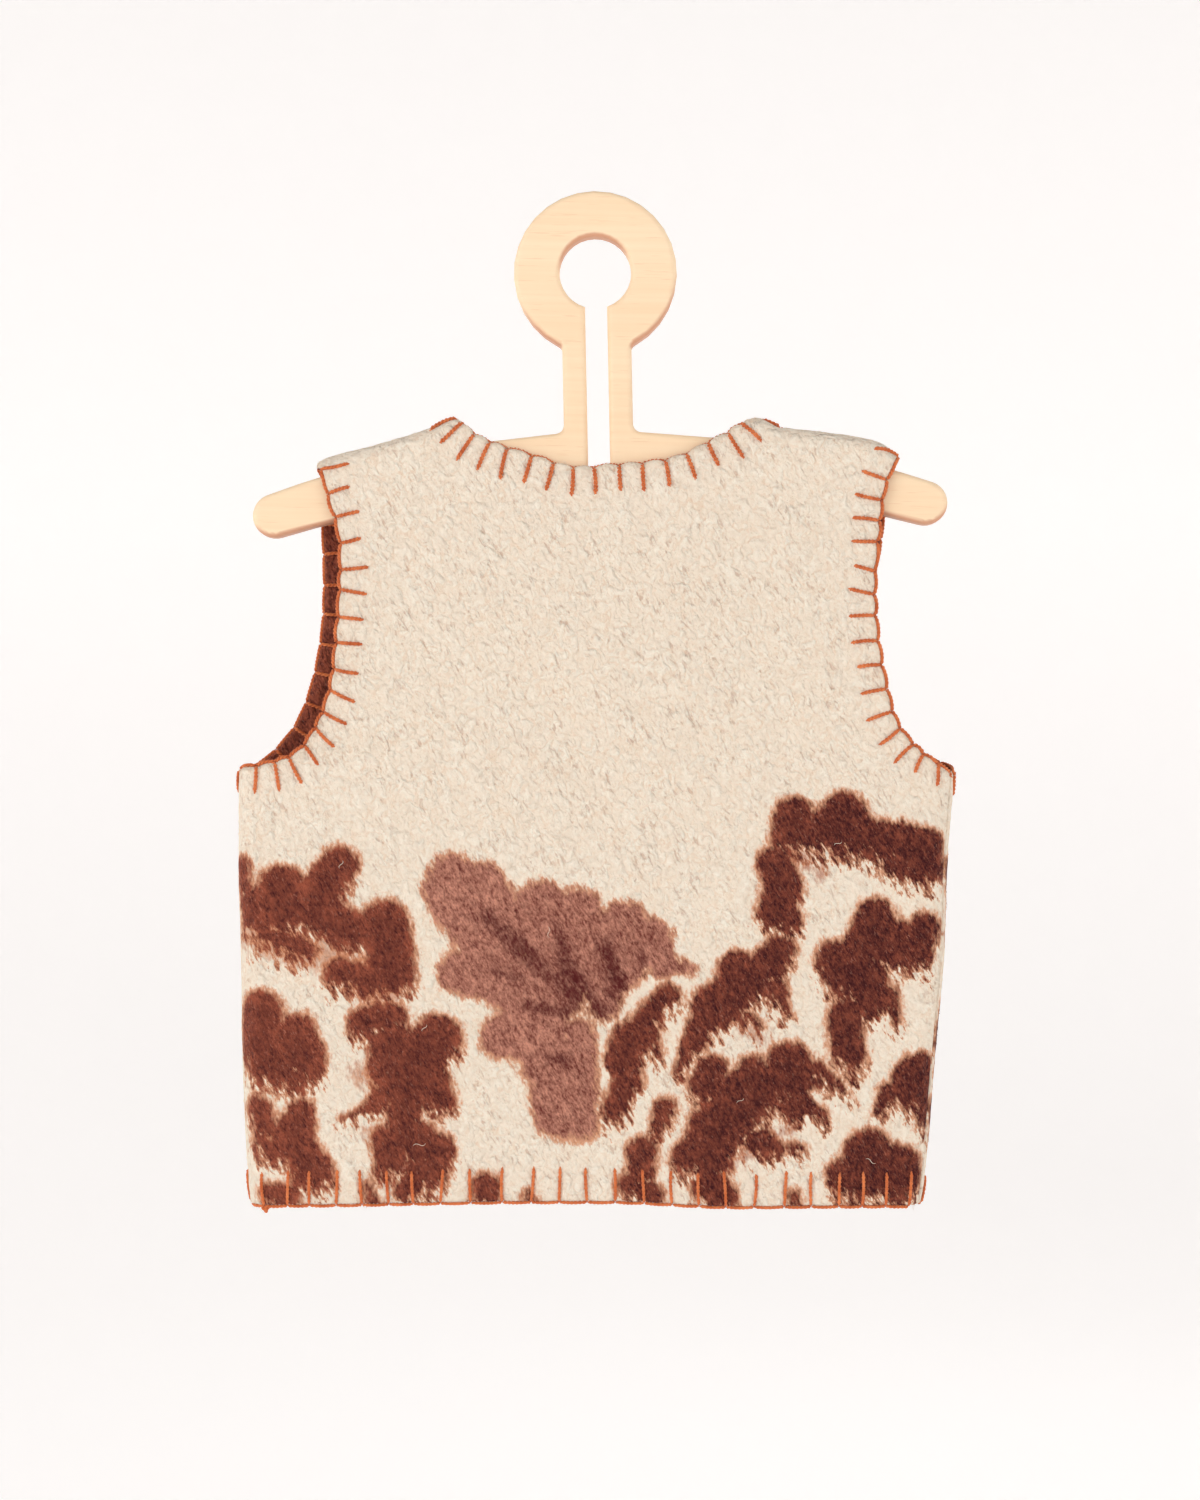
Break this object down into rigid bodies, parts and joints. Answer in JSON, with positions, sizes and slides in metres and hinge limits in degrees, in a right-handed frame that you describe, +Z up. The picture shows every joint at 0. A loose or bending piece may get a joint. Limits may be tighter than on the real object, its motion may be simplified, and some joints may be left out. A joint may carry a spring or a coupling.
{
  "type": "wool vest on wooden hanger",
  "caption": "Sleeveless wool vest for a small child, open at neck, armholes, hem and centre front, hanging flat on a wooden hanger with a ring for a peg.",
  "frame": {"origin": "top of the round hole in the hanger's ring, where a peg carries it, half-way through the wood", "axes": "+Z up, +X towards the wearer's right, -Y out of the wearer's back, which is the side that the picture shows"},
  "size_m": [0.3111, 0.0283, 0.4388],
  "materials": {
    "hanger_wood": "pale maple plywood, fine sanded, waxed",
    "wool_cloth": "thick napped double-faced wool, oatmeal with dark brown and taupe leaf shapes",
    "stitch_yarn": "twisted two-ply wool yarn, rust"
  },
  "bodies": {
    "root": {"hanger": "hanger_wood", "back": "wool_cloth", "front_left": "wool_cloth", "front_right": "wool_cloth"}
  },
  "joints": []
}
